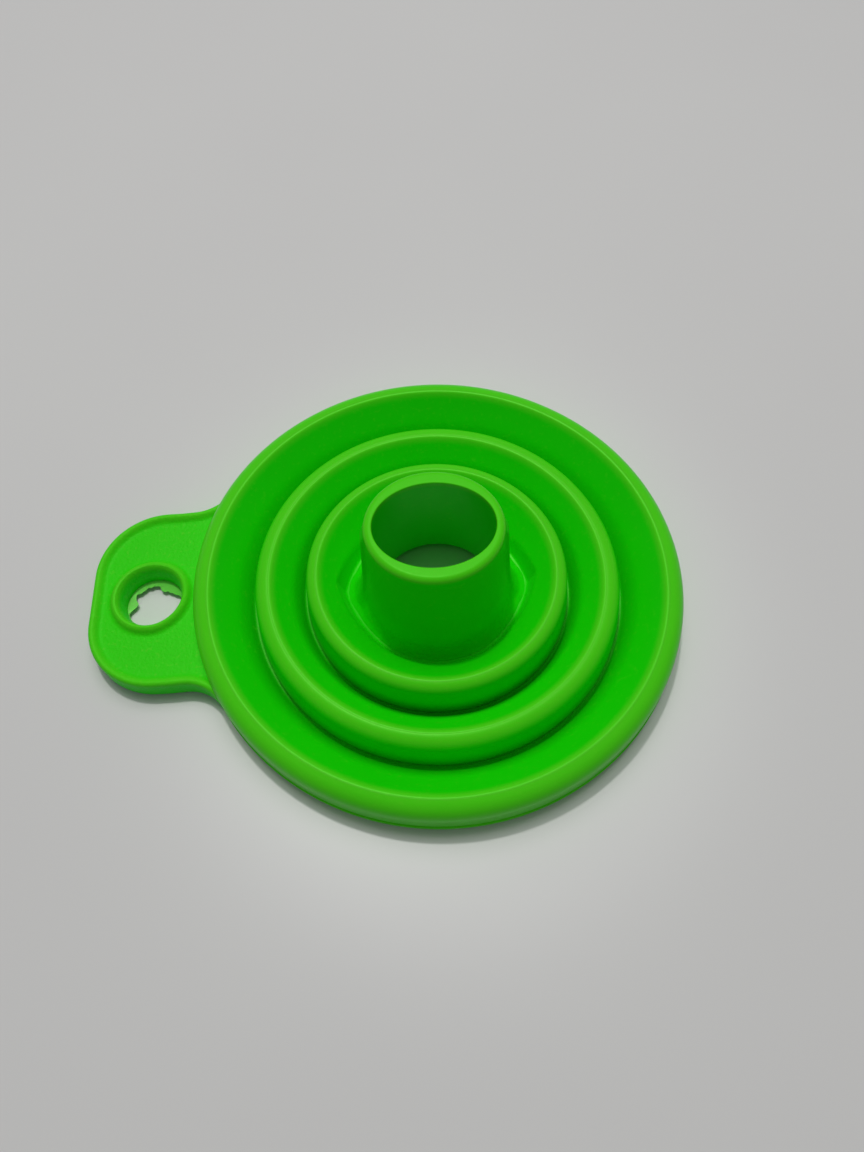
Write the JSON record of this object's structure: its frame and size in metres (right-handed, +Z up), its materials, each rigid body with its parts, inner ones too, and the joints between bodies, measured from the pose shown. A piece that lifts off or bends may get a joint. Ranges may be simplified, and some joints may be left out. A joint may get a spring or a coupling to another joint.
{
  "type": "collapsible silicone funnel",
  "caption": "Round folding silicone funnel lying flat on its mouth, with concentric fold rings, an oval ribbed spout and a hanging tab with a hole.",
  "frame": {"origin": "middle of the mouth rim's flat resting face", "axes": "+Z up through the spout towards its tip, -X towards the hanging tab, and the spout's wide way along X"},
  "size_m": [0.097, 0.08, 0.0215],
  "materials": {
    "silicone": "semi-matte moulded silicone"
  },
  "bodies": {
    "rim": {"rim_ring": "silicone", "mouth_lip": "silicone", "hang_tab": "silicone", "hang_collar": "silicone", "outer_fold_web": "silicone"},
    "middle": {"middle_ring": "silicone", "middle_fold_web": "silicone"},
    "inner": {"inner_ring": "silicone", "inner_fold_web": "silicone"},
    "spout": {"spout_tube": "silicone", "vent_rib_left": "silicone", "vent_rib_right": "silicone"}
  },
  "joints": [
    {"name": "outer_fold", "type": "slide", "parent": "rim", "child": "middle", "axis": [0, 0, 1], "range_m": [0, 0.0109], "deforming": ["outer_fold_web"]},
    {"name": "middle_fold", "type": "slide", "parent": "middle", "child": "inner", "axis": [0, 0, 1], "range_m": [0, 0.0102], "deforming": ["middle_fold_web"]},
    {"name": "inner_fold", "type": "slide", "parent": "inner", "child": "spout", "axis": [0, 0, 1], "range_m": [0, 0.0104], "deforming": ["inner_fold_web"]}
  ]
}
